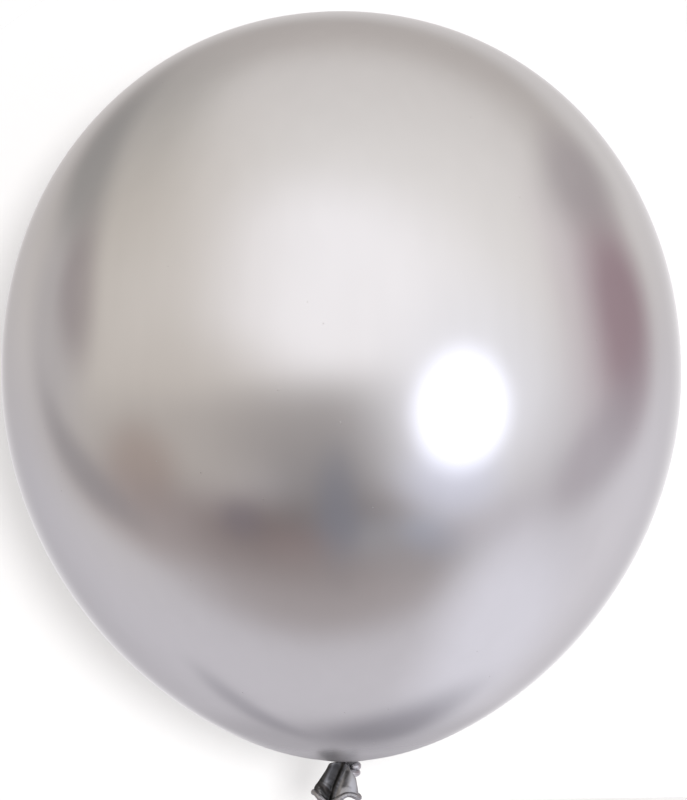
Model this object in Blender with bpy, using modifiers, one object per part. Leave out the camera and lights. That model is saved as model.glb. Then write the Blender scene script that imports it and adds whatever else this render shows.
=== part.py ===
"""A round metallic latex balloon, blown up, knotted at the neck and standing neck down.

Metres, +Z up. The origin is the neck tie: the point under the throat where the knot closes the
balloon. +Z runs up the balloon's axis through its crown, and -Y is the side that is looked at.
The skin of a real balloon is one dipped piece; here it is split where its form changes: the blown
envelope, the gathered neck, the strand that wraps it in an overhand knot, the loose tail and the
rolled lip round its mouth.
"""

import math

import bmesh
import bpy

# Envelope: heights over the tie, how full the crown is (2 is an ellipse), how much the lower half
# narrows below a plain half ellipse, and how far its last part is drawn down towards the neck
BALLOON_WIDTH = 0.290
CROWN_ABOVE_WIDEST = 0.1540
WIDEST_ABOVE_TIE = 0.1670
CROWN_FULLNESS = 2.058
SHOULDER_TAPER = 0.093
THROAT_TAPER = 0.056
THROAT_DRAW = 0.0010
DRAWN_FROM = 0.017
ENVELOPE_WALL = 0.0004

# Envelope: rings over the widest one, down to the gathers and through them, and segments round
UPPER_RINGS = 14
LOWER_RINGS = 13
THROAT_RINGS = 4
GATHER_RADIUS = 0.020
ENVELOPE_SEGMENTS = 44

# Neck: a pleated funnel in the throat and the stretched strand that the knot holds
CLEARANCE = 0.0003
THROAT_RADIUS = 0.0050
NECK_PLEATS = 9
NECK_SEGMENTS = 36
KNOT_CENTRE = (0.0009, 0.0005)
KNOT_BOTTOM = -0.0062

# Knot: one and a third turns of the neck, wound round the strand and lower at the front
WRAP_RADIUS = 0.0034
WRAP_THICKNESS = 0.0024
WRAP_START = math.radians(-58)
WRAP_TURNS = 1.35
WRAP_TOP = -0.0015
WRAP_PITCH = 0.0028
WRAP_TILT = 0.0006
WRAP_POINTS = 34

# Tail: the flat open end of the neck, out over the knot's front and down
TAIL_WALL = 0.0004
TAIL_RINGS = 18
TAIL_SEGMENTS = 64
TAIL_PLEATS = 7
TAIL_PLEAT_DEPTH = 0.03

# Down the tail: share of its length, centre across, in depth and in height, half width, half
# depth, and the lean from straight down towards the front in degrees
TAIL_STATIONS = (
    (0.00, -0.0008, -0.0017, -0.0011, 0.0016, 0.00055, 88),
    (0.08, -0.0024, -0.0036, -0.0009, 0.0028, 0.00055, 86),
    (0.16, -0.0036, -0.0056, -0.0004, 0.0036, 0.00060, 60),
    (0.28, -0.0037, -0.0062, -0.0030, 0.0053, 0.00075, 8),
    (0.45, -0.0038, -0.0060, -0.0062, 0.0075, 0.00110, -4),
    (0.63, -0.0044, -0.0055, -0.0090, 0.0087, 0.00160, -4),
    (0.82, -0.0046, -0.0043, -0.0116, 0.0093, 0.00310, 0),
    (1.00, -0.0047, -0.0032, -0.0141, 0.0096, 0.00500, 2),
)

# Folds of both walls together: place across at the root and at the mouth, width, and depth.
# A positive depth pushes the walls back and a negative one makes a ridge.
TAIL_FOLDS = (
    ("valley", -0.0014, -0.0078, 0.0017, 0.0019),
    ("ridge", 0.0008, -0.0062, 0.0012, -0.0009),
    ("right_turn", 0.0024, 0.0050, 0.0018, 0.0012),
    ("left_turn", -0.0056, -0.0144, 0.0018, 0.0010),
)

# Rolled lip: a bead along the tail's wavy edge
LIP_BEAD = 0.0024
LIP_DROP = 0.0016
EDGE_SIDES_RISE = 0.0008
EDGE_WAVE = 0.0004

# Finish: colour, roughness
CHROME_FINISH = ((0.66, 0.65, 0.66), 0.16)
SLACK_FINISH = ((0.42, 0.42, 0.43), 0.34)


def clear_scene():
    for obj in list(bpy.data.objects):
        bpy.data.objects.remove(obj, do_unlink=True)


def metallic_skin(name, finish):
    """The latex's metallic finish, brighter and smoother where the skin is stretched."""
    colour, roughness = finish
    material = bpy.data.materials.new(name)
    material.use_nodes = True
    shader = material.node_tree.nodes["Principled BSDF"]
    shader.inputs["Base Color"].default_value = (*colour, 1.0)
    shader.inputs["Metallic"].default_value = 1.0
    shader.inputs["Roughness"].default_value = roughness
    material.diffuse_color = (*colour, 1.0)
    return material


def place(obj, collection, material):
    """Puts a finished object in the balloon's collection with its own material."""
    for holder in list(obj.users_collection):
        holder.objects.unlink(obj)
    collection.objects.link(obj)
    obj.data.materials.append(material)
    if obj.type == "MESH":
        obj.data.shade_smooth()
    return obj


def upper_radius(share):
    """Outer radius over the widest ring, at a share of the crown's height."""
    return BALLOON_WIDTH / 2 * (1.0 - share**CROWN_FULLNESS) ** (1.0 / CROWN_FULLNESS)


def lower_radius(share):
    """Outer radius below the widest ring, at a share of the way down to the tie."""
    taper = 1.0 - SHOULDER_TAPER * share**2 - THROAT_TAPER * share**6
    return BALLOON_WIDTH / 2 * math.sqrt(1.0 - share**2) * taper


def lower_height(share):
    """Height over the tie at a share of the way down; near the axis the skin is drawn down."""
    draw = max(0.0, 1.0 - lower_radius(share) / DRAWN_FROM)
    return (WIDEST_ABOVE_TIE - THROAT_DRAW) * (1.0 - share) + THROAT_DRAW * (1.0 - draw**1.5)


def share_with_radius(radius):
    """Share of the way down at which the skin has narrowed to a radius, found by halving."""
    low, high = 0.5, 1.0
    for _ in range(50):
        middle = (low + high) / 2
        if lower_radius(middle) > radius:
            low = middle
        else:
            high = middle
    return high


def envelope_profile():
    """(radius, height) from the crown down the outer side to the throat."""
    points = []
    for ring in range(UPPER_RINGS + 1):
        share = math.cos(ring / UPPER_RINGS * math.pi / 2)
        radius = upper_radius(share) if ring else 0.0
        points.append((radius, WIDEST_ABOVE_TIE + CROWN_ABOVE_WIDEST * share))
    last = math.asin(share_with_radius(GATHER_RADIUS))
    for ring in range(1, LOWER_RINGS + 1):
        share = math.sin(ring / LOWER_RINGS * last)
        points.append((lower_radius(share), lower_height(share)))
    for ring in range(1, THROAT_RINGS + 1):
        radius = GATHER_RADIUS + (THROAT_RADIUS - GATHER_RADIUS) * ring / THROAT_RINGS
        points.append((radius, lower_height(share_with_radius(radius))))
    return points


def build_envelope(collection):
    """The blown skin: a turned profile with a thin wall, open at the throat."""
    mesh = bpy.data.meshes.new("envelope")
    bm = bmesh.new()
    ring = [bm.verts.new((radius, 0.0, height)) for radius, height in envelope_profile()]
    for upper, lower in zip(ring, ring[1:]):
        bm.edges.new((upper, lower))
    bm.to_mesh(mesh)
    bm.free()
    obj = place(
        bpy.data.objects.new("envelope", mesh),
        collection,
        metallic_skin("chrome_latex", CHROME_FINISH),
    )
    screw = obj.modifiers.new("turned", "SCREW")
    screw.steps = screw.render_steps = ENVELOPE_SEGMENTS
    screw.use_merge_vertices = True
    screw.merge_threshold = 0.00005
    wall = obj.modifiers.new("wall", "SOLIDIFY")
    wall.thickness = ENVELOPE_WALL
    wall.offset = -1.0
    return obj


def loft(name, rings, ends):
    """A closed mesh through rings of equally many points; the end rings are capped or joined."""
    mesh = bpy.data.meshes.new(name)
    bm = bmesh.new()
    loops = [[bm.verts.new(point) for point in ring] for ring in rings]
    pairs = list(zip(loops, loops[1:]))
    if ends == "joined":
        pairs.append((loops[-1], loops[0]))
    for upper, lower in pairs:
        count = len(upper)
        for i in range(count):
            j = (i + 1) % count
            bm.faces.new((upper[i], lower[i], lower[j], upper[j]))
    if ends == "capped":
        bm.faces.new(loops[0])
        bm.faces.new(reversed(loops[-1]))
    bmesh.ops.recalc_face_normals(bm, faces=bm.faces)
    bm.to_mesh(mesh)
    bm.free()
    return bpy.data.objects.new(name, mesh)


def build_neck(collection):
    """The gathered throat and the strand below it, one pleated solid that narrows into the knot."""
    strand = WRAP_RADIUS - WRAP_THICKNESS / 2 - CLEARANCE
    top = lower_height(share_with_radius(THROAT_RADIUS))
    flange = THROAT_RADIUS - CLEARANCE
    # Height, radius, share of the way to the knot's centre, pleat depth
    stations = (
        (top + 0.0006, flange * 0.94, 0.0, 0.02),
        (top, flange, 0.0, 0.03),
        (top - 0.0004, flange * 0.72, 0.3, 0.10),
        (top - 0.0008, strand, 0.8, 0.16),
        (top - 0.0018, strand * 0.72, 1.0, 0.14),
        (top - 0.0030, strand * 0.98, 1.0, 0.10),
        (KNOT_BOTTOM + 0.0006, strand * 0.96, 1.0, 0.12),
        (KNOT_BOTTOM, strand * 0.55, 1.0, 0.14),
    )
    rings = []
    for height, radius, shift, depth in stations:
        ring = []
        for angle in angles(NECK_SEGMENTS):
            pleated = radius * (1.0 - depth / 2 + depth / 2 * math.cos(NECK_PLEATS * angle))
            ring.append(
                (
                    KNOT_CENTRE[0] * shift + pleated * math.cos(angle),
                    KNOT_CENTRE[1] * shift + pleated * math.sin(angle),
                    height,
                )
            )
        rings.append(ring)
    obj = loft("neck", rings, "capped")
    return place(obj, collection, metallic_skin("gathered_latex", SLACK_FINISH))


def tube(name, points, thickness, closed):
    """A round strand along points, as a curve with a bevel and filled ends."""
    curve = bpy.data.curves.new(name, "CURVE")
    curve.dimensions = "3D"
    spline = curve.splines.new("POLY")
    spline.points.add(len(points) - 1)
    for point, place_at in zip(spline.points, points):
        point.co = (*place_at, 1.0)
    spline.use_cyclic_u = closed
    curve.bevel_depth = thickness / 2
    curve.bevel_resolution = 2
    curve.use_fill_caps = not closed
    return bpy.data.objects.new(name, curve)


def build_knot(collection):
    """The strand that goes round the neck, its two turns side by side on the right."""
    points = []
    for step in range(WRAP_POINTS + 1):
        turn = step / WRAP_POINTS * WRAP_TURNS
        angle = WRAP_START + turn * 2 * math.pi
        points.append(
            (
                KNOT_CENTRE[0] + WRAP_RADIUS * math.cos(angle),
                KNOT_CENTRE[1] + WRAP_RADIUS * math.sin(angle),
                WRAP_TOP - turn * WRAP_PITCH + WRAP_TILT * math.sin(angle),
            )
        )
    obj = tube("knot_wrap", points, WRAP_THICKNESS, closed=False)
    return place(obj, collection, metallic_skin("knotted_latex", SLACK_FINISH))


def along(stations, share):
    """Values at a share of the way down, on a smooth curve through the stations."""
    last = len(stations) - 1
    i = max(k for k in range(last) if stations[k][0] <= share or k == 0)
    before, start = stations[max(i - 1, 0)], stations[i]
    end, after = stations[i + 1], stations[min(i + 2, last)]
    t = (share - start[0]) / (end[0] - start[0])
    values = []
    for p, a, b, q in zip(before[1:], start[1:], end[1:], after[1:]):
        bend = 2 * a + (b - p) * t + (2 * p - 5 * a + 4 * b - q) * t**2
        values.append((bend + (3 * a - p - 3 * b + q) * t**3) / 2)
    return values


def edge_drop(angle):
    """How far the tail's wavy edge hangs below its last station, least at its two sides."""
    return EDGE_WAVE * math.sin(3 * angle + 0.6) - EDGE_SIDES_RISE * math.cos(2 * angle)


def folded_back(across, share):
    """How far the folds push both walls of the tail back, at a place across."""
    pushed = 0.0
    for _, root, mouth, width, depth in TAIL_FOLDS:
        middle = root + (mouth - root) * share
        pushed += depth * math.exp(-(((across - middle) / width) ** 2))
    return pushed * min(1.0, 1.6 * share)


def tail_point(angle, share, inset):
    """A point of the tail's wall, at an angle round it, a share of the way down and a depth in it."""
    across, deep, height, half_width, half_depth, lean = along(TAIL_STATIONS, share)
    pleat = 1.0 + TAIL_PLEAT_DEPTH * share * math.cos(TAIL_PLEATS * angle)
    turned = math.radians(lean)
    x = across + (half_width * pleat - inset) * math.cos(angle)
    back = (half_depth * pleat - inset) * math.sin(angle)
    y = deep + back * math.cos(turned) + folded_back(x, share)
    z = height - back * math.sin(turned) - edge_drop(angle) * share**2
    return (x, y, z)


def angles(count):
    return [2 * math.pi * i / count for i in range(count)]


def tail_ring(share, inset):
    return [tail_point(angle, share, inset) for angle in angles(TAIL_SEGMENTS)]


def build_tail(collection):
    """The flattened open tube past the knot, its two walls folded together."""
    shares = [step / TAIL_RINGS for step in range(TAIL_RINGS + 1)]
    outside = [tail_ring(share, 0.0) for share in shares]
    inside = [tail_ring(share, TAIL_WALL) for share in reversed(shares)]
    obj = loft("tail", outside + inside, "joined")
    return place(obj, collection, metallic_skin("slack_latex", SLACK_FINISH))


def build_lip(collection):
    """The rolled bead that closes the edge of the tail's mouth."""
    edge = tail_ring(1.0, TAIL_WALL / 2)
    points = [(x, y, z - LIP_DROP) for x, y, z in edge]
    obj = tube("rolled_lip", points, LIP_BEAD, closed=True)
    return place(obj, collection, metallic_skin("rolled_latex", SLACK_FINISH))


def build():
    clear_scene()
    balloon = bpy.data.collections.new("metallic_balloon")
    bpy.context.scene.collection.children.link(balloon)
    build_envelope(balloon)
    build_neck(balloon)
    build_knot(balloon)
    build_tail(balloon)
    build_lip(balloon)


build()
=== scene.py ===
"""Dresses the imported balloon: the blown skin, the gathered neck, the knot, the tail and its lip.

Metres, +Z up, in the frame of the solids: the origin is the neck tie, and -Y is towards the viewer.
"""

import math

import bmesh
import bpy
from mathutils import Matrix, Vector


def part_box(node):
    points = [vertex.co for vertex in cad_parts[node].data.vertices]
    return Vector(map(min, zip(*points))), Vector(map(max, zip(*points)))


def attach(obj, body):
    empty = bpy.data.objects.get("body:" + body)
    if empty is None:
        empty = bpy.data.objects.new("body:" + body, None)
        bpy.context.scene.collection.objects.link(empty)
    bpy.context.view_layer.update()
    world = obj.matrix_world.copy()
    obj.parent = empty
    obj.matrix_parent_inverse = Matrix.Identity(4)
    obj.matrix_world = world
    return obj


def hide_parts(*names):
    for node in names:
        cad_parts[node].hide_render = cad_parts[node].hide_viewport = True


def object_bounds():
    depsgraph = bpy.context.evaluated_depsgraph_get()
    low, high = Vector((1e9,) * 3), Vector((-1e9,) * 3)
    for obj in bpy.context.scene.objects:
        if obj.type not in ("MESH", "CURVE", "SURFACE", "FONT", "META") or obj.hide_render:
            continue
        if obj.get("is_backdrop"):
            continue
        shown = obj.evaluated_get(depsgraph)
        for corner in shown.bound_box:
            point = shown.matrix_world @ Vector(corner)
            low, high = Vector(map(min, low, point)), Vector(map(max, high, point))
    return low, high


bl_info = {
    "name": "Metallic balloon",
    "version": (1, 0, 0),
    "blender": (4, 5, 0),
    "location": "3D View > Sidebar > Balloon",
    "description": "Models a knotted balloon with a chrome finish round its packed solids",
    "category": "Add Mesh",
}

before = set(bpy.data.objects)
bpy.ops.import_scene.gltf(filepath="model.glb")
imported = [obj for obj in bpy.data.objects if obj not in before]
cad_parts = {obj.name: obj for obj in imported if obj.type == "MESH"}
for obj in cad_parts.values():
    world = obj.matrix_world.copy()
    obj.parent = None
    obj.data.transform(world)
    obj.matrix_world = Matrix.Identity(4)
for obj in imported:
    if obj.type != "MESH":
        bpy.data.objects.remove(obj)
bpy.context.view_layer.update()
ENVELOPE_LOW, ENVELOPE_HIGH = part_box("envelope")

# Envelope: heights over the tie, how full the crown is (2 is an ellipse), how much the lower half
# narrows below a plain half ellipse, and how far its last part is drawn down into the neck. Throat:
# its skirt as (radius, height). Gathers: how many, and each step's reach and height on their wave
WIDEST_ABOVE_TIE = 0.1670
CROWN_FULLNESS = 2.058
SHOULDER_TAPER = 0.093
THROAT_TAPER = 0.056
THROAT_DRAW = 0.0010
DRAWN_FROM = 0.017
UPPER_RINGS = 54
LOWER_RINGS = 56
THROAT_RINGS = 26
ENVELOPE_SEGMENTS = 224
GATHER_REACH = 0.024
THROAT_RADIUS = 0.0052
THROAT_SKIRT = (
    (0.0047, 0.00040),
    (0.0041, 0.00012),
    (0.0034, -0.00025),
    (0.0028, -0.00070),
    (0.0025, -0.00120),
)
GATHERS = 23
GATHER_STEPS = ((0.0125, 0.75), (0.0100, 0.45), (0.0080, 0.15), (0.0064, -0.10))
GATHER_RISE = 0.00006

# Neck: height, half width, share of the way to the knot's centre and twist in degrees, from the top.
# A groove is where the wave of the pleats, from -1 to 1, is below a level
KNOT_CENTRE = (0.0009, 0.0005)
NECK_PLEATS = 26
NECK_SECTIONS = (
    (0.0004, 0.0044, 0.0, 0),
    (0.0000, 0.0038, 0.1, 3),
    (-0.0004, 0.0031, 0.3, 8),
    (-0.0009, 0.0025, 0.6, 15),
    (-0.0015, 0.0020, 0.9, 26),
    (-0.0022, 0.0016, 1.0, 40),
    (-0.0033, 0.0017, 1.0, 58),
    (-0.0045, 0.0018, 1.0, 78),
    (-0.0056, 0.0017, 1.0, 96),
    (-0.0062, 0.0012, 1.0, 104),
)
NECK_PLEAT_DEPTH = 0.16
NECK_GROOVE_BELOW = -0.5

# Knot: a gathered strand that goes round the neck. Its ends are tucked: how thick they are, how
# fast it grows from there, and how far they lie further in. Lumps: share of its length, reach, size
KNOT_RADIUS = 0.0034
KNOT_START = math.radians(-66)
KNOT_TURNS = 1.42
KNOT_TOP = -0.0015
KNOT_PITCH = 0.0028
KNOT_TILT = 0.0006
KNOT_STRAND = 0.00158
STRAND_GROOVE_BELOW = -0.3
KNOT_POINTS = 90
KNOT_PLEATS = 11
KNOT_TWIST = 0.8 * math.pi
KNOT_END = 0.45
KNOT_END_GROWTH = 7
KNOT_END_IN = 0.16
KNOT_WAVER = 0.05
KNOT_LUMPS = ((0.12, 0.10, 0.16), (0.42, 0.08, -0.14), (0.66, 0.09, 0.15), (0.86, 0.06, -0.10))

# Tail: share of its length, centre across, in depth and in height, half width, half depth, and
# lean from straight down towards the front, in degrees
TAIL_STATIONS = (
    (0.00, -0.0008, -0.0017, -0.0010, 0.0016, 0.00055, 88),
    (0.08, -0.0024, -0.0036, -0.0006, 0.0028, 0.00055, 84),
    (0.16, -0.0037, -0.0056, 0.0000, 0.0036, 0.00060, 55),
    (0.28, -0.0037, -0.0062, -0.0028, 0.0053, 0.00075, 8),
    (0.45, -0.0038, -0.0060, -0.0062, 0.0075, 0.00110, -4),
    (0.63, -0.0044, -0.0055, -0.0090, 0.0087, 0.00160, -4),
    (0.82, -0.0046, -0.0045, -0.0116, 0.0093, 0.00250, 0),
    (1.00, -0.0047, -0.0037, -0.0139, 0.0096, 0.00370, 2),
)
TAIL_RINGS = 44
TAIL_SEGMENTS = 168
TAIL_WALL = 0.0004
FOLD_LINE_WIDTH = 0.00025

# Folds: name, walls that move, falloff, push (towards the front below zero), reach, how much
# shade is painted along the fold, and the line along its middle as (across, height)
TAIL_FOLDS = (
    (
        "valley", "both", "LINEAR", 0.0024, 0.0040, 1.0,
        (
            (-0.0020, -0.0012), (-0.0036, -0.0036), (-0.0048, -0.0064), (-0.0060, -0.0090),
            (-0.0073, -0.0116), (-0.0083, -0.0150),
        ),
    ),
    # The hollow is pressed in only a little: its darkness is mostly painted shade
    (
        "hollow", "both", "LINEAR", 0.0003, 0.0034, 0.85,
        (
            (-0.0042, -0.0010), (-0.0061, -0.0040), (-0.0070, -0.0062),
        ),
    ),
    (
        "ridge", "both", "SMOOTH", -0.0010, 0.0013, 0.0,
        (
            (-0.0010, -0.0004), (-0.0023, -0.0036), (-0.0035, -0.0064), (-0.0047, -0.0090),
            (-0.0060, -0.0116), (-0.0070, -0.0150),
        ),
    ),
    (
        "right_turn", "both", "LINEAR", 0.0009, 0.0042, 0.0,
        (
            (0.0024, -0.0040), (0.0040, -0.0064), (0.0048, -0.0090), (0.0052, -0.0116),
            (0.0052, -0.0150),
        ),
    ),
    (
        "left_turn", "both", "LINEAR", 0.0012, 0.0046, 0.80,
        (
            (-0.0078, -0.0020), (-0.0092, -0.0037), (-0.0113, -0.0064), (-0.0131, -0.0090),
            (-0.0139, -0.0116), (-0.0143, -0.0150),
        ),
    ),
    (
        "light_crease", "front", "SMOOTH", -0.0005, 0.0009, 0.0,
        (
            (-0.0116, -0.0074), (-0.0093, -0.0090), (-0.0069, -0.0104),
        ),
    ),
    (
        "under_crease", "front", "SMOOTH", 0.0007, 0.0022, 0.8,
        (
            (-0.0120, -0.0098), (-0.0100, -0.0115), (-0.0084, -0.0126),
        ),
    ),
    (
        "face_groove", "front", "SMOOTH", 0.0003, 0.0024, 0.55,
        (
            (0.0002, -0.0034), (-0.0007, -0.0080), (-0.0016, -0.0100),
        ),
    ),
    (
        "back_groove", "back", "SMOOTH", -0.0005, 0.0014, 0.3,
        (
            (-0.0030, -0.0050), (-0.0060, -0.0150),
        ),
    ),
    (
        "back_pleat", "back", "SMOOTH", -0.0004, 0.0012, 0.2,
        (
            (0.0000, -0.0050), (0.0014, -0.0150),
        ),
    ),
)

# Mouth: pulls on its edge at a place across, downwards below zero; then its rolled bead, whose
# waves have a size, a number round the mouth and a phase
MOUTH_PULLS = (
    (-0.0142, 0.0022),
    (-0.0100, -0.0018),
    (-0.0064, -0.0018),
    (0.0006, 0.0016),
    (0.0046, -0.0004),
)
MOUTH_PULL_WIDTH = 0.0006
MOUTH_PULL_REACH = 0.0060
MOUTH_EDGE = 0.0004
LIP_BEAD = 0.00135
LIP_DROP = 0.0009
LIP_GROOVES = 9
LIP_WAVES = ((0.10, 3, 0.8), (0.07, 7, 2.1), (0.02, 41, 0.0), (0.012, 67, 1.0))

# Latex: scales of its patterns per metre, dust (its spread of size, and the share of places without
# any), and the distances from the neck tie or the crown over which the skin turns dull or gathers.
# Painted shade darkens the skin where it turns dull, a ring of painted dark reflection lies round
# the tie, and painted shade lies along the tail's folds
CLOUD_SCALE = 24.0
DRIP_STRETCH = (150.0, 150.0, 12.0)
DRIP_SHARE = 0.6
DUST_SCALE = 170.0
DUST_COLOUR = (0.55, 0.54, 0.52)
DUST_HEIGHT = 0.01
DUST_SIZE = (0.07, 0.03)
DUST_ROUGHNESS = 0.35
CLEAN_SHARE = 0.86
BUMP_DISTANCE = 0.001
GRAIN_SCALE = 900.0
WRINKLE_SCALE = 420.0
FINE_WRINKLE_SCALE = 1134.0
GATHER_SCALE = 7.0
EDGE_TINT = (0.80, 0.80, 0.80, 1.0)
CHROME_ROUGHNESS = (0.150, 0.46)
GATHERED_ROUGHNESS = 0.34
TAIL_ROUGHNESS = 0.42
LIP_ROUGHNESS = 0.32
DULL_ROUND_TIE = (0.064, 0.016)
DULL_AT_CROWN = (0.050, 0.005)
CROWN_DULLNESS = 0.25
# Painted shade that darkens the skin as it turns dull: round the tie, and faintly at the crown
DULL_PAINTED_SHADE = 0.16
# A ring of painted dark reflection round the tie: where it eases in, where it eases out, and how dark
RING_INSIDE = (0.026, 0.052)
RING_OUTSIDE = (0.086, 0.058)
RING_PAINTED_REFLECTION = 0.21
GATHERED_WITHIN = (0.034, 0.008)
GATHER_DEPTH = 0.35
# Painted shade of the tail's folds: the fold's share at which it is full, and its least and greatest
# darkening
FOLD_PAINTED_SHADE = (0.74, 0.0, 0.82)

# Camera: level with the balloon's middle, and rolled a little because the real balloon leans
CAMERA_DISTANCE = 1.10
CAMERA_HEIGHT = 0.1555
CAMERA_ACROSS = 0.0008
CAMERA_ROLL = math.radians(0.8)
VIEW_HEIGHT_AT_AXIS = 0.3441
SENSOR_HEIGHT = 36.0

# Floor and the card behind, both faded out towards their edges, and the lamp that shades them.
# Slant is 0 seen squarely and 1 edge-on: the card is clear from its second value on, the floor never
PAPER_WHITENESS = 0.60
FLOOR_BELOW_TAIL = 0.025
FLOOR_GLOW = 0.42
FLOOR_RADIUS = 0.60
FLOOR_FADE = (0.16, 0.58)
FLOOR_SLANT = (1.0, 1.01)
CARD_GLOW = 0.30
CARD_BEHIND = 0.170
CARD_HEIGHT = 0.120
CARD_RADIUS = 0.34
CARD_FADE = (0.20, 0.33)
CARD_SLANT = (0.45, 0.75)
KEY_PLACE = (0.16, -1.60, 0.22)
KEY_AIM = (0.0, 0.0, 0.12)
KEY_SIZE = 0.20
KEY_POWER = 16.0

# Soft room round the balloon, by direction: name, azimuth, elevation, half width, half height,
# tilt, softness of the edge, strength of the mix, colour. Azimuth 0 is towards the camera.
ROOM_STRENGTH = 1.16
PANEL_DEPTH = 1.2
ROOM_ABOVE = (0.61, 0.57, 0.555)
ROOM_BELOW = (0.57, 0.545, 0.58)
ROOM_HORIZON = 0.25
ROOM_PANELS = (
    ("light_above", 0, 42, 82, 52, 0, 0.55, 0.90, (0.79, 0.76, 0.745)),
    ("grey_top", 180, 80, 46, 36, 0, 0.60, 0.40, (0.60, 0.57, 0.55)),
    ("dim_front_low", -6, -50, 74, 32, 0, 0.60, 0.55, (0.42, 0.39, 0.40)),
    ("dim_back_high", 180, 44, 62, 20, 0, 0.60, 0.75, (0.47, 0.43, 0.41)),
    ("grey_high_left", -118, 41, 30, 18, 0, 0.60, 0.82, (0.40, 0.38, 0.36)),
    ("light_back_high", 162, 21, 34, 13, 0, 0.60, 0.60, (0.80, 0.77, 0.77)),
    ("bright_front_high", -8, 23, 49, 30, 0, 0.45, 0.90, (0.935, 0.905, 0.92)),
    ("warm_left", -78, 14, 40, 44, 0, 0.55, 0.75, (0.55, 0.50, 0.45)),
    ("warm_left_low", -50, -12, 34, 20, 0, 0.50, 0.70, (0.54, 0.49, 0.45)),
    ("dim_band_left", -56, -19, 56, 13, 0, 0.55, 0.60, (0.38, 0.345, 0.325)),
    ("brown_left_low", -75, -22, 13, 10, 0, 0.60, 0.75, (0.34, 0.27, 0.24)),
    ("grey_between_left", -112, 8, 18, 12, -40, 0.60, 0.50, (0.37, 0.35, 0.37)),
    ("dim_streak_left", -73, -36, 33, 9, -24, 0.60, 0.70, (0.33, 0.275, 0.265)),
    ("dim_streak_far_left", -102, -18, 21, 5, -45, 0.60, 0.74, (0.27, 0.25, 0.26)),
    ("shade_high_left", -130, 30, 22, 8, -5, 0.60, 0.65, (0.26, 0.25, 0.245)),
    ("shade_left", -102, 15, 14, 8, -48, 0.60, 0.66, (0.26, 0.22, 0.225)),
    ("light_back_right", 147, -22, 33, 27, 0, 0.60, 0.70, (0.74, 0.71, 0.75)),
    ("dark_low", -12, -49, 40, 14, 0, 0.50, 0.90, (0.21, 0.172, 0.168)),
    ("dark_middle", -4, -22, 31, 17, 0, 0.60, 0.80, (0.31, 0.285, 0.28)),
    ("darkest_low_middle", -5, -43, 17, 18, 0, 0.70, 0.50, (0.17, 0.16, 0.165)),
    ("dark_low_left", -42, -47, 15, 8, 0, 0.60, 0.38, (0.18, 0.14, 0.135)),
    ("blue_grey_low", 32, -50, 22, 9, 8, 0.60, 0.72, (0.35, 0.355, 0.385)),
    ("blue_streak_middle", -2, -43, 6, 18, 0, 0.60, 0.65, (0.195, 0.20, 0.24)),
    ("dark_spot_low_left", -42, -40, 6, 5, 0, 0.70, 0.70, (0.185, 0.16, 0.18)),
    ("brown_spot_low", -21, -51, 9, 6, 0, 0.70, 0.50, (0.26, 0.195, 0.19)),
    ("blue_spot_low", 41, -46, 9, 5, 0, 0.70, 0.80, (0.33, 0.37, 0.48)),
    ("warm_low", -9, -66, 47, 13, 0, 0.60, 0.72, (0.32, 0.28, 0.275)),
    ("red_veil_right", 90, 10, 12, 24, 0, 0.60, 0.45, (0.50, 0.42, 0.46)),
    ("red_brown_right", 109, 9, 16, 18, 0, 0.60, 0.87, (0.29, 0.195, 0.225)),
    ("shade_high_right", 117, 32, 18, 9, -10, 0.60, 0.75, (0.36, 0.32, 0.33)),
    ("shade_low_right", 99, -16, 21, 9, 36, 0.60, 0.66, (0.36, 0.32, 0.35)),
    ("shade_far_low_right", 61, -38, 14, 6, 18, 0.60, 0.60, (0.38, 0.34, 0.37)),
    ("pale_low_right", 113, -53, 32, 16, 0, 0.60, 0.70, (0.79, 0.775, 0.85)),
    ("light_back_middle", 177, -4, 22, 14, -14, 0.70, 0.85, (1.04, 1.02, 1.04)),
    ("dim_back_low", 166, -54, 13, 10, 0, 0.60, 0.60, (0.20, 0.19, 0.22)),
    ("dim_back_low_left", -151, -51, 11, 4, 0, 0.60, 0.60, (0.26, 0.25, 0.28)),
    ("halo_round_lamp", 44, -9, 28, 26, 0, 0.60, 0.78, (0.84, 0.83, 0.87)),
    ("blue_under_lamp", 40, -30, 15, 9, 0, 0.60, 0.60, (0.66, 0.67, 0.80)),
    ("round_lamp", 40, -11, 14.5, 14.2, 0, 0.42, 1.00, (1.55, 1.57, 1.78)),
)


def deselect_everything():
    """Leaves edit mode, and leaves nothing selected."""
    if bpy.context.mode != "OBJECT":
        bpy.ops.object.mode_set(mode="OBJECT")
    bpy.ops.object.select_all(action="DESELECT")


def name_piece(name):
    """Names the new active object and its mesh."""
    piece = bpy.context.object
    piece.name = piece.data.name = name
    return piece


def hand_over(piece, material, slot, *nodes):
    """Gives a finished piece its material, hangs it on the root body and hides the solids it stands for.
    """
    piece.data.materials.clear()
    piece.data.materials.append(material)
    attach(piece, "root")
    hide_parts(*nodes)
    deselect_everything()


def edit_all():
    """Edits the active mesh with all of it selected."""
    bpy.ops.object.mode_set(mode="EDIT")
    bpy.ops.mesh.select_all(action="SELECT")


def select_where(test):
    """Selects the vertices of the edited mesh that pass a test."""
    mesh = bpy.context.object.data
    edited = bmesh.from_edit_mesh(mesh)
    for vertex in edited.verts:
        vertex.select_set(test(vertex))
    edited.select_flush_mode()
    bmesh.update_edit_mesh(mesh)


def turn(angle, axis, centre):
    """Turns the selection by the right-hand rule; with no window the operator's own sign is opposite."""
    bpy.ops.transform.rotate(value=-angle, orient_axis=axis, center_override=centre)


def pull(step, reach, connected=True, falloff="SMOOTH"):
    """Moves the selection; what lies within a reach of it, or is joined to it, follows softly."""
    bpy.ops.transform.translate(
        value=step,
        use_proportional_edit=True,
        use_proportional_connected=connected,
        proportional_edit_falloff=falloff,
        proportional_size=reach,
    )


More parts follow.
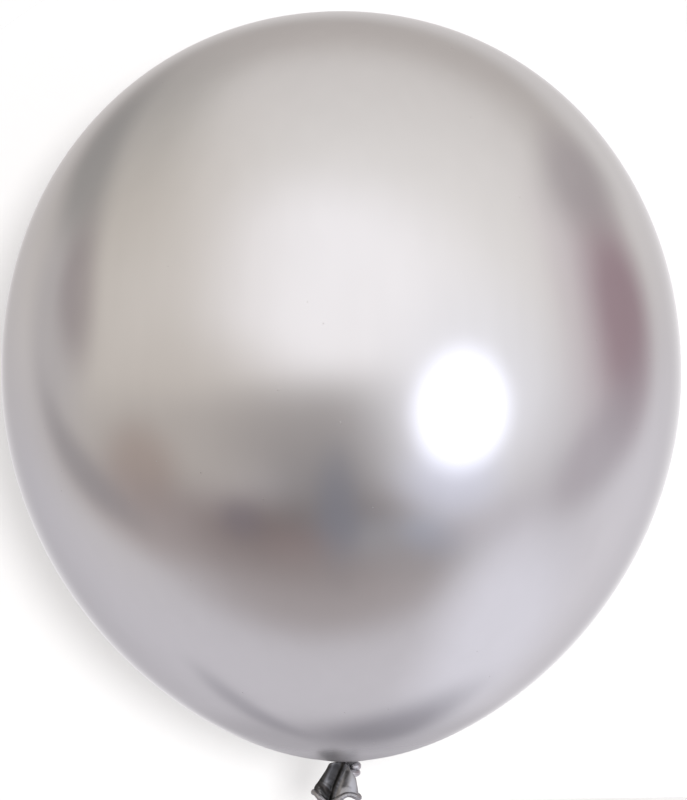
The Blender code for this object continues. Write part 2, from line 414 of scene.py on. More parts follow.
def along(stations, share):
    """Values at a share of the way down, on a smooth curve through the stations."""
    last = len(stations) - 1
    i = max(k for k in range(last) if stations[k][0] <= share or k == 0)
    before, start = stations[max(i - 1, 0)], stations[i]
    end, after = stations[i + 1], stations[min(i + 2, last)]
    t = (share - start[0]) / (end[0] - start[0])
    values = []
    for p, a, b, q in zip(before[1:], start[1:], end[1:], after[1:]):
        bend = 2 * a + (b - p) * t + (2 * p - 5 * a + 4 * b - q) * t**2
        values.append((bend + (3 * a - p - 3 * b + q) * t**3) / 2)
    return values


def upper_radius(share, sizes):
    """Radius of the skin over its widest ring, at a share of the crown's height."""
    return sizes.width / 2 * (1.0 - share**CROWN_FULLNESS) ** (1.0 / CROWN_FULLNESS)


def lower_radius(share, sizes):
    """Radius of the skin below its widest ring, at a share of the way down."""
    taper = 1.0 - SHOULDER_TAPER * share**2 - THROAT_TAPER * share**6
    return sizes.width / 2 * math.sqrt(max(0.0, 1.0 - share**2)) * taper


def drawn_height(share, radius):
    """Height over the tie at a share of the way down; near the axis the skin is drawn down."""
    draw = max(0.0, 1.0 - radius / DRAWN_FROM)
    return (WIDEST_ABOVE_TIE - THROAT_DRAW) * (1.0 - share) + THROAT_DRAW * (1.0 - draw**1.5)


def share_with_radius(radius, sizes):
    """Share of the way down at which the lower skin has a radius, found by halving."""
    low, high = 0.5, 1.0
    for _ in range(50):
        middle = (low + high) / 2
        if lower_radius(middle, sizes) > radius:
            low = middle
        else:
            high = middle
    return high


def envelope_profile(sizes):
    """(radius, height) from the crown down to the skirt that runs into the neck."""
    crown = sizes.top - WIDEST_ABOVE_TIE
    points = []
    for ring in range(UPPER_RINGS):
        share = math.cos(ring / UPPER_RINGS * math.pi / 2)
        radius = upper_radius(share, sizes) if ring else 0.0
        points.append((radius, WIDEST_ABOVE_TIE + crown * share))
    last = math.asin(share_with_radius(GATHER_REACH, sizes))
    for ring in range(LOWER_RINGS):
        share = math.sin(ring / LOWER_RINGS * last)
        radius = lower_radius(share, sizes)
        points.append((radius, drawn_height(share, radius)))
    for ring in range(THROAT_RINGS):
        radius = GATHER_REACH + (THROAT_RADIUS - GATHER_REACH) * ring / (THROAT_RINGS - 1)
        points.append((radius, drawn_height(share_with_radius(radius, sizes), radius)))
    return points + list(THROAT_SKIRT)


class BalloonSizes(bpy.types.PropertyGroup):
    """Sizes of the blown balloon."""

    width: bpy.props.FloatProperty(
        name="Width",
        description="Across the widest ring of the blown skin",
        default=ENVELOPE_HIGH.x - ENVELOPE_LOW.x,
        unit="LENGTH",
    )
    top: bpy.props.FloatProperty(
        name="Top",
        description="Height of the crown over the neck tie",
        default=ENVELOPE_HIGH.z,
        unit="LENGTH",
    )


class BalloonFinish(bpy.types.PropertyGroup):
    """Colours of the metallic skin."""

    chrome: bpy.props.FloatVectorProperty(
        name="Chrome",
        description="Colour of the stretched skin",
        subtype="COLOR",
        default=(0.80, 0.80, 0.805),
        min=0.0,
        max=1.0,
    )
    slack: bpy.props.FloatVectorProperty(
        name="Slack skin",
        description="Colour of the unstretched tail",
        subtype="COLOR",
        default=(0.44, 0.44, 0.445),
        min=0.0,
        max=1.0,
    )
    gathered: bpy.props.FloatVectorProperty(
        name="Gathered skin",
        description="Colour of the neck and of its knot",
        subtype="COLOR",
        default=(0.62, 0.615, 0.63),
        min=0.0,
        max=1.0,
    )


def principled(name):
    """A new material and its Principled node."""
    material = bpy.data.materials.new(name)
    material.use_nodes = True
    return material, material.node_tree.nodes["Principled BSDF"]


def linked(tree, node, socket, value):
    """Links an output to a node's socket, or sets the socket where the value is plain."""
    if isinstance(value, bpy.types.NodeSocket):
        tree.links.new(value, node.inputs[socket])
    else:
        node.inputs[socket].default_value = value


def math_node(tree, operation, *values):
    """The output of a math node on values or sockets."""
    node = tree.nodes.new("ShaderNodeMath")
    node.operation = operation
    for socket, value in enumerate(values):
        linked(tree, node, socket, value)
    return node.outputs[0]


def mixed(tree, factor, first, second):
    """The first colour, mixed with the second by a factor."""
    node = tree.nodes.new("ShaderNodeMix")
    node.data_type = "RGBA"
    linked(tree, node, 0, factor)
    for socket, colour in ((6, first), (7, second)):
        linked(tree, node, socket, (*colour, 1.0) if isinstance(colour, tuple) else colour)
    return node.outputs[2]


def ranged(tree, value, start, end, low=0.0, high=1.0):
    """Eases a value that runs from start to end into one from low to high."""
    node = tree.nodes.new("ShaderNodeMapRange")
    node.interpolation_type = "SMOOTHSTEP"
    for socket, setting in (
        ("Value", value),
        ("From Min", start),
        ("From Max", end),
        ("To Min", low),
        ("To Max", high),
    ):
        linked(tree, node, socket, setting)
    return node.outputs["Result"]


def vector_math(tree, operation, *values):
    """A vector math node on values or sockets; its output depends on the operation."""
    node = tree.nodes.new("ShaderNodeVectorMath")
    node.operation = operation
    for socket, value in enumerate(values):
        linked(tree, node, socket, value)
    return node


def noise(tree, place, scale, detail=2.0):
    """A noise pattern's value at a place."""
    node = tree.nodes.new("ShaderNodeTexNoise")
    linked(tree, node, "Vector", place)
    linked(tree, node, "Scale", scale)
    linked(tree, node, "Detail", detail)
    return node.outputs["Fac"]


def object_place(tree):
    """The place on the object, in metres from the neck tie."""
    return tree.nodes.new("ShaderNodeTexCoord").outputs["Object"]


def distance_from(tree, place, centre):
    """How far a place is from a centre."""
    apart = vector_math(tree, "SUBTRACT", place, centre)
    return vector_math(tree, "LENGTH", apart.outputs[0]).outputs["Value"]


def latex_group():
    """Colour, roughness and surface of dipped latex: clouds, drips, dust, grain, wrinkles, gathers and
    painted shade.
    """
    tree = bpy.data.node_groups.new("latex_finish", "ShaderNodeTree")
    for name, kind in (
        ("Tint", "NodeSocketColor"),
        ("Clouds", "NodeSocketFloat"),
        ("Painted Shade", "NodeSocketFloat"),
        ("Dust", "NodeSocketFloat"),
        ("Roughness", "NodeSocketFloat"),
        ("Grain", "NodeSocketFloat"),
        ("Wrinkles", "NodeSocketFloat"),
        ("Gathers", "NodeSocketFloat"),
    ):
        tree.interface.new_socket(name, in_out="INPUT", socket_type=kind)
    for name, kind in (
        ("Color", "NodeSocketColor"),
        ("Roughness", "NodeSocketFloat"),
        ("Normal", "NodeSocketVector"),
    ):
        tree.interface.new_socket(name, in_out="OUTPUT", socket_type=kind)
    given = tree.nodes.new("NodeGroupInput").outputs
    result = tree.nodes.new("NodeGroupOutput")
    place = object_place(tree)

    def signed(value):
        return math_node(tree, "SUBTRACT", value, 0.5)

    def product(first, second):
        return math_node(tree, "MULTIPLY", first, second)

    def total(first, second):
        return math_node(tree, "ADD", first, second)

    clouds = signed(noise(tree, place, CLOUD_SCALE, 3.0))
    stretched = vector_math(tree, "MULTIPLY", place, DRIP_STRETCH).outputs[0]
    drips = signed(noise(tree, stretched, 1.0))
    shown = product(total(clouds, product(drips, DRIP_SHARE)), given["Clouds"])
    # painted shade: the colour is darkened here by the painted shade input
    bright = product(total(shown, 1.0), math_node(tree, "SUBTRACT", 1.0, given["Painted Shade"]))
    tinted = tree.nodes.new("ShaderNodeVectorMath")
    tinted.operation = "SCALE"
    linked(tree, tinted, 0, given["Tint"])
    linked(tree, tinted, "Scale", bright)
    cells = tree.nodes.new("ShaderNodeTexVoronoi")
    linked(tree, cells, "Vector", place)
    linked(tree, cells, "Scale", DUST_SCALE)
    chosen = tree.nodes.new("ShaderNodeSeparateXYZ")
    linked(tree, chosen, 0, cells.outputs["Color"])
    speck = product(
        ranged(tree, cells.outputs["Distance"], *DUST_SIZE),
        math_node(tree, "GREATER_THAN", chosen.outputs["X"], CLEAN_SHARE),
    )
    dust = product(speck, given["Dust"])
    linked(tree, result, "Color", mixed(tree, dust, tinted.outputs[0], DUST_COLOUR))
    uneven = total(product(clouds, 0.5), 1.0)
    rough = math_node(tree, "MULTIPLY_ADD", given["Roughness"], uneven, product(dust, DUST_ROUGHNESS))
    linked(tree, result, "Roughness", rough)

    grain = product(noise(tree, place, GRAIN_SCALE), given["Grain"])
    wrinkles = product(
        total(noise(tree, place, WRINKLE_SCALE, 3.0), noise(tree, place, FINE_WRINKLE_SCALE)),
        given["Wrinkles"],
    )
    flat = vector_math(tree, "MULTIPLY", place, (1.0, 1.0, 0.0)).outputs[0]
    round_axis = vector_math(tree, "NORMALIZE", flat).outputs[0]
    gathers = product(noise(tree, round_axis, GATHER_SCALE), given["Gathers"])
    bump = tree.nodes.new("ShaderNodeBump")
    linked(tree, bump, "Distance", BUMP_DISTANCE)
    raised = total(gathers, product(speck, DUST_HEIGHT))
    linked(tree, bump, "Height", total(total(grain, wrinkles), raised))
    linked(tree, result, "Normal", bump.outputs[0])
    return tree


def latex(name, tint, **settings):
    """A metallic latex material with its own values of the shared finish."""
    material, shader = principled(name)
    tree = material.node_tree
    shader.inputs["Metallic"].default_value = 1.0
    shader.inputs["Specular Tint"].default_value = EDGE_TINT
    finish = tree.nodes.new("ShaderNodeGroup")
    finish.node_tree = bpy.data.node_groups.get("latex_finish") or latex_group()
    finish.inputs["Tint"].default_value = (*tint, 1.0)
    for socket, value in settings.items():
        linked(tree, finish, socket, value)
    linked(tree, shader, "Base Color", finish.outputs["Color"])
    linked(tree, shader, "Roughness", finish.outputs["Roughness"])
    linked(tree, shader, "Normal", finish.outputs["Normal"])
    return material, finish


def chrome_material(finish):
    """The stretched skin: a satin mirror that turns dull towards the gathers and at the crown, darkened
    there by painted shade, with a ring of painted dark reflection round the tie.
    """
    material, shared = latex(
        "chrome_latex", finish.chrome, Clouds=0.05, Dust=0.5, Grain=0.0009, Wrinkles=0.0
    )
    tree = material.node_tree
    place = object_place(tree)
    from_tie = distance_from(tree, place, (0.0, 0.0, 0.0))
    gathered = ranged(tree, from_tie, *DULL_ROUND_TIE)
    from_crown = distance_from(tree, place, (0.0, 0.0, ENVELOPE_HIGH.z))
    crown = ranged(tree, from_crown, *DULL_AT_CROWN)
    dull = math_node(tree, "MAXIMUM", gathered, math_node(tree, "MULTIPLY", crown, CROWN_DULLNESS))
    smooth, rougher = CHROME_ROUGHNESS
    rough = math_node(tree, "MULTIPLY_ADD", dull, rougher - smooth, smooth)
    linked(tree, shared, "Roughness", rough)
    # a ring of painted dark reflection round the tie
    inside = ranged(tree, from_tie, *RING_INSIDE)
    ring = math_node(tree, "MULTIPLY", inside, ranged(tree, from_tie, *RING_OUTSIDE))
    # painted shade that deepens as the skin turns dull
    dull_painted_shade = math_node(tree, "MULTIPLY", dull, DULL_PAINTED_SHADE)
    ring_painted_reflection = math_node(tree, "MULTIPLY", ring, RING_PAINTED_REFLECTION)
    linked(tree, shared, "Painted Shade", math_node(tree, "MAXIMUM", dull_painted_shade, ring_painted_reflection))
    pulled = ranged(tree, from_tie, *GATHERED_WITHIN)
    linked(tree, shared, "Gathers", math_node(tree, "MULTIPLY", pulled, GATHER_DEPTH))
    return material


def slack_material(name, tint, roughness):
    """The unstretched skin: duller, with painted shade along its folds, and fine wrinkles."""
    material, shared = latex(
        name, tint, Clouds=0.16, Dust=0.7, Roughness=roughness, Grain=0.002, Wrinkles=0.03
    )
    tree = material.node_tree
    # reads the painted shade that the tail keeps along its folds
    folds = tree.nodes.new("ShaderNodeAttribute")
    folds.attribute_name = "painted_fold_shade"
    linked(tree, shared, "Painted Shade", ranged(tree, folds.outputs["Fac"], 0.0, *FOLD_PAINTED_SHADE))
    return material


class BALLOON_OT_envelope(bpy.types.Operator):
    """Model the blown skin: a drawn profile, spun round the axis"""

    bl_idname = "balloon.envelope"
    bl_label = "Blow the envelope"

    def execute(self, context):
        sizes, finish = context.scene.balloon_sizes, context.scene.balloon_finish
        deselect_everything()
        profile = envelope_profile(sizes)
        bpy.ops.mesh.primitive_circle_add(vertices=3, radius=sizes.width / 100)
        skin = name_piece("balloon_skin")
        edit_all()
        bpy.ops.mesh.merge(type="CENTER")
        bpy.ops.mesh.select_all(action="SELECT")
        bpy.ops.transform.translate(value=(0.0, 0.0, profile[0][1]))
        for (radius, height), (next_radius, next_height) in zip(profile, profile[1:]):
            step = (next_radius - radius, 0.0, next_height - height)
            bpy.ops.mesh.extrude_region_move(TRANSFORM_OT_translate={"value": step})
        bpy.ops.mesh.select_all(action="SELECT")
        bpy.ops.mesh.spin(
            steps=ENVELOPE_SEGMENTS, angle=2 * math.pi, center=(0, 0, 0), axis=(0, 0, 1)
        )
        bpy.ops.mesh.select_all(action="SELECT")
        bpy.ops.mesh.remove_doubles(threshold=1e-6)
        bpy.ops.mesh.normals_make_consistent(inside=False)
        for reach, level in GATHER_STEPS:
            select_where(
                lambda v: v.co.z < reach
                and math.hypot(v.co.x, v.co.y) < reach
                and math.cos(GATHERS * math.atan2(v.co.y, v.co.x)) > level
            )
            bpy.ops.transform.shrink_fatten(value=GATHER_RISE)
        softened = GATHER_STEPS[-1][0]
        select_where(lambda v: v.co.z < softened and math.hypot(v.co.x, v.co.y) < GATHER_REACH)
        bpy.ops.mesh.vertices_smooth(factor=0.5, repeat=2)
        bpy.ops.object.mode_set(mode="OBJECT")
        bpy.ops.object.shade_smooth()
        hand_over(skin, chrome_material(finish), "chrome_skin", "envelope")
        return {"FINISHED"}


class BALLOON_OT_neck(bpy.types.Operator):
    """Model the gathered neck: a pleated ring, drawn down and twisted into the knot"""

    bl_idname = "balloon.neck"
    bl_label = "Gather the neck"

    def execute(self, context):
        finish = context.scene.balloon_finish
        deselect_everything()
        first_height, first_radius, _, _ = NECK_SECTIONS[0]
        bpy.ops.mesh.primitive_circle_add(vertices=4 * NECK_PLEATS, radius=first_radius)
        neck = name_piece("gathered_neck")
        edit_all()
        select_where(
            lambda v: math.cos(NECK_PLEATS * math.atan2(v.co.y, v.co.x)) < NECK_GROOVE_BELOW
        )
        depth = 1.0 - NECK_PLEAT_DEPTH
        bpy.ops.transform.resize(value=(depth, depth, 1.0), center_override=(0, 0, 0))
        bpy.ops.mesh.select_all(action="SELECT")
        bpy.ops.transform.translate(value=(0.0, 0.0, first_height))
        for before, after in zip(NECK_SECTIONS, NECK_SECTIONS[1:]):
            shift = after[2] - before[2]
            step = (KNOT_CENTRE[0] * shift, KNOT_CENTRE[1] * shift, after[0] - before[0])
            centre = (KNOT_CENTRE[0] * after[2], KNOT_CENTRE[1] * after[2], after[0])
            bpy.ops.mesh.extrude_region_move(TRANSFORM_OT_translate={"value": step})
            grown = after[1] / before[1]
            bpy.ops.transform.resize(value=(grown, grown, 1.0), center_override=centre)
            turn(math.radians(after[3] - before[3]), "Z", centre)
        bpy.ops.mesh.edge_face_add()
        select_where(lambda v: v.co.z > first_height - 1e-5)
        bpy.ops.mesh.edge_face_add()
        bpy.ops.mesh.select_all(action="SELECT")
        bpy.ops.mesh.normals_make_consistent(inside=False)
        bpy.ops.object.mode_set(mode="OBJECT")
        bpy.ops.object.modifier_add(type="SUBSURF")
        neck.modifiers[-1].levels = neck.modifiers[-1].render_levels = 1
        bpy.ops.object.modifier_apply(modifier=neck.modifiers[-1].name)
        bpy.ops.object.shade_smooth()
        material = slack_material("gathered_latex", finish.gathered, GATHERED_ROUGHNESS)
        hand_over(neck, material, "gathered_skin", "neck")
        return {"FINISHED"}


def knot_path():
    """(place, strand radius) along the wound strand, thinner at its tucked ends."""
    path = []
    for step in range(KNOT_POINTS + 1):
        share = step / KNOT_POINTS
        angle = KNOT_START + share * KNOT_TURNS * 2 * math.pi
        lump = 0.0
        for at, wide, size in KNOT_LUMPS:
            lump += size * math.exp(-(((share - at) / wide) ** 2))
        from_end = min(share, 1 - share)
        tuck = min(1.0, KNOT_END + KNOT_END_GROWTH * from_end)
        waver = KNOT_WAVER * math.sin(3 * angle + 1.0)
        inwards = KNOT_RADIUS * (1.0 - KNOT_END_IN * (1.0 - tuck) + waver)
        place = (
            KNOT_CENTRE[0] + inwards * math.cos(angle),
            KNOT_CENTRE[1] + inwards * math.sin(angle),
            KNOT_TOP - share * KNOT_TURNS * KNOT_PITCH + KNOT_TILT * math.sin(angle),
        )
        path.append((place, tuck * (1.0 + lump)))
    return path


def bead_along(curve_object, section):
    """Gives a curve a section and makes the result a mesh."""
    curve = curve_object.data
    curve.dimensions = "3D"
    curve.bevel_mode = "OBJECT"
    curve.bevel_object = section
    curve.use_fill_caps = True
    curve.twist_mode = "MINIMUM"
    deselect_everything()
    curve_object.select_set(True)
    bpy.context.view_layer.objects.active = curve_object
    bpy.ops.object.convert(target="MESH")
    bpy.data.objects.remove(section, do_unlink=True)
    edit_all()
    bpy.ops.mesh.remove_doubles(threshold=1e-7)
    bpy.ops.mesh.normals_make_consistent(inside=False)
    bpy.ops.object.mode_set(mode="OBJECT")
    bpy.ops.object.shade_smooth()


def pleated_section(name, radius, pleats, depth, points):
    """A closed outline with shallow grooves, to sweep along a strand."""
    deselect_everything()
    bpy.ops.mesh.primitive_circle_add(vertices=points, radius=radius)
    outline = name_piece(name)
    edit_all()
    select_where(
        lambda v: math.cos(pleats * math.atan2(v.co.y, v.co.x)) < STRAND_GROOVE_BELOW
    )
    bpy.ops.transform.resize(value=(1 - depth, 1 - depth, 1.0), center_override=(0, 0, 0))
    bpy.ops.object.mode_set(mode="OBJECT")
    bpy.ops.object.convert(target="CURVE")
    return bpy.context.object


class BALLOON_OT_knot(bpy.types.Operator):
    """Model the knot: a pleated strand swept round the neck"""

    bl_idname = "balloon.knot"
    bl_label = "Tie the knot"

    def execute(self, context):
        finish = context.scene.balloon_finish
        section = pleated_section("strand_section", KNOT_STRAND, KNOT_PLEATS, depth=0.035, points=66)
        deselect_everything()
        bpy.ops.curve.primitive_nurbs_path_add(location=(0, 0, 0))
        knot = name_piece("knot_strand")
        knot.data.splines.clear()
        spline = knot.data.splines.new("POLY")
        path = knot_path()
        spline.points.add(len(path) - 1)
        for point, (place, radius) in zip(spline.points, path):
            point.co = (*place, 1.0)
            point.radius = radius
        for number, point in enumerate(spline.points):
            point.tilt = KNOT_TWIST * number / len(path)
        bead_along(knot, section)
        material = slack_material("knotted_latex", finish.gathered, GATHERED_ROUGHNESS)
        hand_over(knot, material, "gathered_skin", "knot_wrap")
        return {"FINISHED"}


def distance_to_line(across, height, line):
    """Distance in the XZ plane from a place to a line of points."""
    nearest = math.inf
    for (x, z), (next_x, next_z) in zip(line, line[1:]):
        run, rise = next_x - x, next_z - z
        share = ((across - x) * run + (height - z) * rise) / (run**2 + rise**2)
        share = min(1.0, max(0.0, share))
        nearest = min(nearest, math.hypot(across - x - share * run, height - z - share * rise))
    return nearest


def depths():
    """How far back each vertex of the edited mesh lies."""
    return [vertex.co.y for vertex in bmesh.from_edit_mesh(bpy.context.object.data).verts]


def press_fold(walls, falloff, push, reach, line):
    """Pulls the vertices along a line back or forwards, and gives each vertex's share of the push."""
    facing = {"front": -1.0, "back": 1.0, "both": 0.0}[walls]
    before = depths()
    select_where(
        lambda v: v.normal.y * facing >= 0.0
        and distance_to_line(v.co.x, v.co.z, line) < FOLD_LINE_WIDTH
    )
    pull((0.0, push, 0.0), reach, connected=walls != "both", falloff=falloff)
    return [(now - was) / push for now, was in zip(depths(), before)]


class BALLOON_OT_tail(bpy.types.Operator):
    """Model the tail: a folded ring drawn out over the knot and down, then its rolled lip"""

    bl_idname = "balloon.tail"
    bl_label = "Hang the tail"

    def execute(self, context):
        finish = context.scene.balloon_finish
        deselect_everything()
        sections = [along(TAIL_STATIONS, ring / TAIL_RINGS) for ring in range(TAIL_RINGS + 1)]
        across, deep, height, wide, thick, lean = sections[0]
        bpy.ops.mesh.primitive_circle_add(vertices=TAIL_SEGMENTS, radius=wide)
        tail = name_piece("tail_skin")
        edit_all()
        bpy.ops.transform.resize(value=(1.0, thick / wide, 1.0), center_override=(0, 0, 0))
        turn(math.radians(-lean), "X", (0, 0, 0))
        bpy.ops.transform.translate(value=(across, deep, height))
        for before, after in zip(sections, sections[1:]):
            step = Vector(after[:3]) - Vector(before[:3])
            bpy.ops.mesh.extrude_region_move(TRANSFORM_OT_translate={"value": step})
            centre = after[:3]
            turn(math.radians(before[5]), "X", centre)
            grown = (after[3] / before[3], after[4] / before[4], 1.0)
            bpy.ops.transform.resize(value=grown, center_override=centre)
            turn(math.radians(-after[5]), "X", centre)
        height_of_mouth = sections[-1][2] + MOUTH_EDGE
        bpy.ops.object.vertex_group_add()
        bpy.ops.object.vertex_group_assign()
        bpy.ops.mesh.select_all(action="SELECT")
        bpy.ops.mesh.normals_make_consistent(inside=False)
        # painted shade along the folds, kept on the mesh for the material to read
        painted_shades = [0.0] * len(depths())
        for _, walls, falloff, push, reach, shade, line in TAIL_FOLDS:
            moved = press_fold(walls, falloff, push, reach, line)
            painted_shades = [max(darkest, shade * share) for darkest, share in zip(painted_shades, moved)]
        bpy.ops.object.mode_set(mode="OBJECT")
        painted_shade_of_folds = tail.data.attributes.new("painted_fold_shade", "FLOAT", "POINT")
        painted_shade_of_folds.data.foreach_set("value", painted_shades)
        bpy.ops.object.mode_set(mode="EDIT")
        for across, drop in MOUTH_PULLS:
            select_where(
                lambda v: abs(v.co.x - across) < MOUTH_PULL_WIDTH and v.co.z < height_of_mouth
            )
            pull((0.0, 0.0, drop), MOUTH_PULL_REACH)
        bpy.ops.mesh.select_all(action="DESELECT")
        bpy.ops.object.vertex_group_select()
        bpy.ops.mesh.duplicate()
        bpy.ops.mesh.separate(type="SELECTED")
        bpy.ops.object.mode_set(mode="OBJECT")
        lip = next(item for item in bpy.context.selected_objects if item != tail)
        lip.name = lip.data.name = "rolled_lip_bead"
        deselect_everything()
        tail.select_set(True)
        bpy.context.view_layer.objects.active = tail
        bpy.ops.object.modifier_add(type="SOLIDIFY")
        tail.modifiers[-1].thickness = TAIL_WALL
        tail.modifiers[-1].offset = -1.0
        bpy.ops.object.modifier_apply(modifier=tail.modifiers[-1].name)
        bpy.ops.object.modifier_add(type="SUBSURF")
        tail.modifiers[-1].levels = tail.modifiers[-1].render_levels = 1
        bpy.ops.object.modifier_apply(modifier=tail.modifiers[-1].name)
        tail.vertex_groups.clear()
        bpy.ops.object.shade_smooth()
        material = slack_material("slack_latex", finish.slack, TAIL_ROUGHNESS)
        hand_over(tail, material, "slack_skin", "tail")
        self.roll_lip(lip, finish)
        return {"FINISHED"}

    def roll_lip(self, lip, finish):
        """Turns the copied mouth edge into a grooved bead."""
        section = pleated_section("bead_section", LIP_BEAD, LIP_GROOVES, depth=0.05, points=54)
        deselect_everything()
        lip.select_set(True)
        bpy.context.view_layer.objects.active = lip
        lip.vertex_groups.clear()
        edit_all()
        bpy.ops.transform.translate(value=(0.0, 0.0, -LIP_DROP))
        bpy.ops.mesh.vertices_smooth(factor=0.5, repeat=14)
        bpy.ops.mesh.subdivide(number_cuts=1)
        bpy.ops.mesh.vertices_smooth(factor=0.5, repeat=4)
        bpy.ops.object.mode_set(mode="OBJECT")
        bpy.ops.object.convert(target="CURVE")
        points = lip.data.splines[0].points
        for number, point in enumerate(points):
            angle = 2 * math.pi * number / len(points)
            waves = (size * math.sin(times * angle + phase) for size, times, phase in LIP_WAVES)
            point.radius = 1.0 + sum(waves)
        bead_along(lip, section)
        material = slack_material("rolled_latex", finish.slack, LIP_ROUGHNESS)
        hand_over(lip, material, "slack_skin", "rolled_lip")


def soft_panel_group():
    """A mask for a soft-edged oval seen in one direction, from its centre, turn and spread."""
    tree = bpy.data.node_groups.new("soft_panel", "ShaderNodeTree")
    for name, kind in (
        ("Direction", "NodeSocketVector"),
        ("Centre", "NodeSocketVector"),
        ("Turn", "NodeSocketVector"),
        ("Spread", "NodeSocketVector"),
        ("Softness", "NodeSocketFloat"),
        ("Strength", "NodeSocketFloat"),
    ):
        tree.interface.new_socket(name, in_out="INPUT", socket_type=kind)
    tree.interface.new_socket("Mask", in_out="OUTPUT", socket_type="NodeSocketFloat")
    given = tree.nodes.new("NodeGroupInput").outputs
    result = tree.nodes.new("NodeGroupOutput")
    local = tree.nodes.new("ShaderNodeMapping")
    local.vector_type = "TEXTURE"
    linked(tree, local, "Vector", given["Direction"])
    linked(tree, local, "Location", given["Centre"])
    linked(tree, local, "Rotation", given["Turn"])
    linked(tree, local, "Scale", given["Spread"])
    reach = vector_math(tree, "LENGTH", local.outputs[0]).outputs["Value"]
    outer = math_node(tree, "ADD", 1.0, given["Softness"])
    inner = math_node(tree, "SUBTRACT", 1.0, given["Softness"])
    linked(tree, result, "Mask", ranged(tree, reach, outer, inner, 0.0, given["Strength"]))
    return tree


def panel_place(azimuth, elevation, tilt, half_width, half_height):
    """Centre direction, turn and spread of a panel, so that it ends at its half width and height."""
    around, lift, lean = (math.radians(angle) for angle in (azimuth, elevation, tilt))
    centre = Vector(
        (math.sin(around) * math.cos(lift), -math.cos(around) * math.cos(lift), math.sin(lift))
    )
    across = Vector((math.cos(around), math.sin(around), 0.0))
    upwards = centre.cross(across)
    right = across * math.cos(lean) + upwards * math.sin(lean)
    top = upwards * math.cos(lean) - across * math.sin(lean)
    turned = Matrix((right, top, right.cross(top))).transposed().to_euler()
    spread = []
    for angle in (math.radians(half_width), math.radians(half_height)):
        deep = (1.0 - math.cos(angle)) / PANEL_DEPTH
        spread.append(math.sin(angle) / math.sqrt(1.0 - deep**2))
    return centre, turned, (*spread, PANEL_DEPTH)


def soft_room():
    """The light that the balloon reflects, by direction; the camera itself sees plain white."""
    world = bpy.data.worlds.new("soft_room")
    world.use_nodes = True
    tree = world.node_tree
    tree.nodes.clear()
    direction = tree.nodes.new("ShaderNodeTexCoord").outputs["Generated"]
    split = tree.nodes.new("ShaderNodeSeparateXYZ")
    linked(tree, split, 0, direction)
    rise = ranged(tree, split.outputs["Z"], -ROOM_HORIZON, ROOM_HORIZON)
    colour = mixed(tree, rise, ROOM_BELOW, ROOM_ABOVE)
    group = soft_panel_group()
    for name, azimuth, elevation, wide, high, tilt, softness, strength, tint in ROOM_PANELS:
        panel = tree.nodes.new("ShaderNodeGroup")
        panel.node_tree = group
        panel.label = name
        centre, turned, spread = panel_place(azimuth, elevation, tilt, wide, high)
        linked(tree, panel, "Direction", direction)
        linked(tree, panel, "Centre", centre)
        linked(tree, panel, "Turn", turned)
        linked(tree, panel, "Spread", spread)
        linked(tree, panel, "Softness", softness)
        linked(tree, panel, "Strength", strength)
        colour = mixed(tree, panel.outputs["Mask"], colour, tint)
    seen = tree.nodes.new("ShaderNodeBackground")
    seen.inputs["Color"].default_value = (1.0, 1.0, 1.0, 1.0)
    lit = tree.nodes.new("ShaderNodeBackground")
    tree.links.new(colour, lit.inputs["Color"])
    lit.inputs["Strength"].default_value = ROOM_STRENGTH
    choose = tree.nodes.new("ShaderNodeMixShader")
    path = tree.nodes.new("ShaderNodeLightPath")
    tree.links.new(path.outputs["Is Camera Ray"], choose.inputs[0])
    tree.links.new(lit.outputs[0], choose.inputs[1])
    tree.links.new(seen.outputs[0], choose.inputs[2])
    out = tree.nodes.new("ShaderNodeOutputWorld")
    tree.links.new(choose.outputs[0], out.inputs["Surface"])
    return world


def faded_paper(name, glow, fade, slant):
    """White paper, clear from behind, that turns clear towards its edge and at a slant."""
    material, shader = principled(name)
    tree = material.node_tree
    shader.inputs["Base Color"].default_value = (PAPER_WHITENESS, PAPER_WHITENESS, PAPER_WHITENESS, 1.0)
    shader.inputs["Roughness"].default_value = 0.9
    shader.inputs["Specular IOR Level"].default_value = 0.0
    shader.inputs["Emission Color"].default_value = (1.0, 1.0, 1.0, 1.0)
    shader.inputs["Emission Strength"].default_value = glow
    far = vector_math(tree, "LENGTH", object_place(tree)).outputs["Value"]
    slanted = tree.nodes.new("ShaderNodeLayerWeight").outputs["Facing"]
    behind = tree.nodes.new("ShaderNodeNewGeometry").outputs["Backfacing"]
    shown = math_node(tree, "SUBTRACT", 1.0, behind)
    for measure, (starts, ends) in ((far, fade), (slanted, slant)):
        shown = math_node(tree, "MULTIPLY", shown, ranged(tree, measure, ends, starts))
    tree.links.new(shown, shader.inputs["Alpha"])
    return material


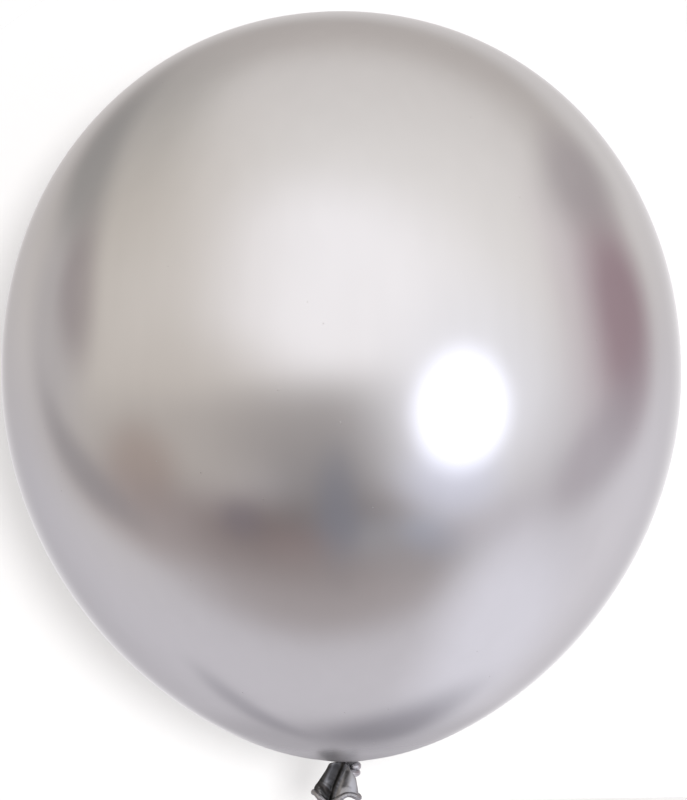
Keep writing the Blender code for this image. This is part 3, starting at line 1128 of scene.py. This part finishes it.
def paper_disc(name, radius, place, upright, material):
    """A round sheet of paper; its own centre stays its origin, for the fade."""
    deselect_everything()
    tilt = math.pi / 2 if upright else 0.0
    bpy.ops.mesh.primitive_circle_add(
        vertices=128, radius=radius, fill_type="TRIFAN", location=place, rotation=(tilt, 0.0, 0.0)
    )
    disc = name_piece(name)
    disc.data.materials.append(material)
    disc.visible_glossy = False
    disc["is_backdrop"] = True


class BALLOON_OT_stage(bpy.types.Operator):
    """Set the camera, the soft room and the pale floor"""

    bl_idname = "balloon.stage"
    bl_label = "Set the stage"

    def execute(self, context):
        scene = context.scene
        deselect_everything()
        scene.world = soft_room()
        scene.view_settings.view_transform = "Standard"
        bpy.ops.object.camera_add(
            location=(CAMERA_ACROSS, -CAMERA_DISTANCE, CAMERA_HEIGHT),
            rotation=(math.pi / 2, CAMERA_ROLL, 0.0),
        )
        camera = context.object
        camera.name = "camera"
        camera.data.sensor_width = SENSOR_HEIGHT
        camera.data.lens = SENSOR_HEIGHT * CAMERA_DISTANCE / VIEW_HEIGHT_AT_AXIS
        camera.data.clip_start = CAMERA_DISTANCE / 100
        scene.camera = camera
        floor = (0.0, 0.0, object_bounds()[0].z - FLOOR_BELOW_TAIL)
        paper = faded_paper("floor_paper", FLOOR_GLOW, FLOOR_FADE, FLOOR_SLANT)
        paper_disc("floor", FLOOR_RADIUS, floor, False, paper)
        card = (0.0, CARD_BEHIND, CARD_HEIGHT)
        paper = faded_paper("card_paper", CARD_GLOW, CARD_FADE, CARD_SLANT)
        paper_disc("backdrop", CARD_RADIUS, card, True, paper)
        aim = (Vector(KEY_AIM) - Vector(KEY_PLACE)).to_track_quat("-Z", "Y").to_euler()
        bpy.ops.object.light_add(type="AREA", location=KEY_PLACE, rotation=aim)
        key = context.object
        key.name = key.data.name = "key_lamp"
        key.data.shape = "DISK"
        key.data.size = KEY_SIZE
        key.data.energy = KEY_POWER
        key.visible_glossy = False
        deselect_everything()
        return {"FINISHED"}


class BALLOON_PT_sidebar(bpy.types.Panel):
    """Lists the balloon's sizes, colours and pieces"""

    bl_idname = "BALLOON_PT_sidebar"
    bl_label = "Metallic balloon"
    bl_space_type = "VIEW_3D"
    bl_region_type = "UI"
    bl_category = "Balloon"

    def draw(self, context):
        for group in (context.scene.balloon_sizes, context.scene.balloon_finish):
            for name in group.bl_rna.properties.keys():
                if name not in ("rna_type", "name"):
                    self.layout.prop(group, name)
        for operator in PIECES:
            self.layout.operator(operator.bl_idname)


PIECES = (
    BALLOON_OT_envelope,
    BALLOON_OT_neck,
    BALLOON_OT_knot,
    BALLOON_OT_tail,
    BALLOON_OT_stage,
)
GROUPS = (BalloonSizes, BalloonFinish)


def register():
    """Adds the operators, the settings and the sidebar to Blender."""
    for item in (*GROUPS, *PIECES, BALLOON_PT_sidebar):
        bpy.utils.register_class(item)
    bpy.types.Scene.balloon_sizes = bpy.props.PointerProperty(type=BalloonSizes)
    bpy.types.Scene.balloon_finish = bpy.props.PointerProperty(type=BalloonFinish)


def unregister():
    """Takes all of them out again."""
    del bpy.types.Scene.balloon_sizes
    del bpy.types.Scene.balloon_finish
    for item in reversed((*GROUPS, *PIECES, BALLOON_PT_sidebar)):
        bpy.utils.unregister_class(item)


def main():
    """Builds the scene."""
    register()
    bpy.ops.balloon.envelope()
    bpy.ops.balloon.neck()
    bpy.ops.balloon.knot()
    bpy.ops.balloon.tail()
    bpy.ops.balloon.stage()


if __name__ == "__main__":
    main()
